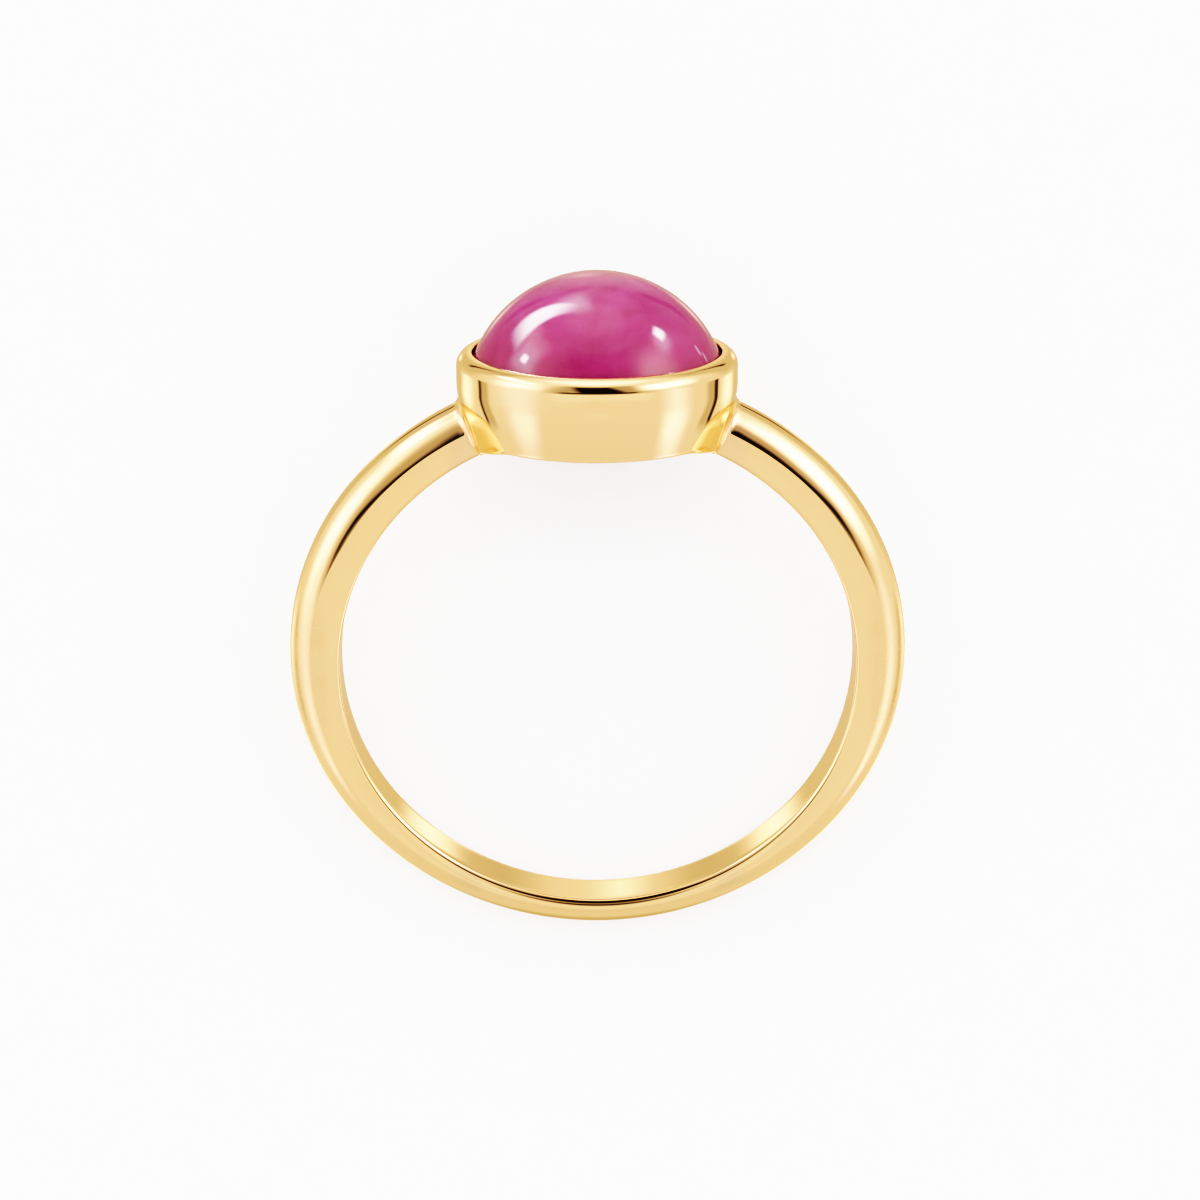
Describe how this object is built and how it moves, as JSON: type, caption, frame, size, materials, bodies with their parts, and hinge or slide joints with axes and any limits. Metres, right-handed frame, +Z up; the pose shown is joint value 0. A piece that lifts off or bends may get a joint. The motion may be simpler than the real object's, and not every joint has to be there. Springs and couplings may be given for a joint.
{
  "type": "ruby ring",
  "caption": "Slim domed gold band with a round, bow-sided bezel that holds a round domed ruby, open behind the stone, lying on its back.",
  "frame": {"origin": "centre of the ring's footprint, on the ground", "axes": "+Z up, +Y from the foot of the band to the stone, +X across the hand. The finger's axis leans 11.3 degrees from +Z, because the bezel is wider than the band"},
  "size_m": [0.0208, 0.0222, 0.0093],
  "materials": {
    "gold": "polished 14 carat yellow gold",
    "ruby": "polished, cloudy pink-red, translucent"
  },
  "bodies": {
    "root": {"band_and_bezel": "gold", "cabochon": "ruby"}
  },
  "joints": []
}
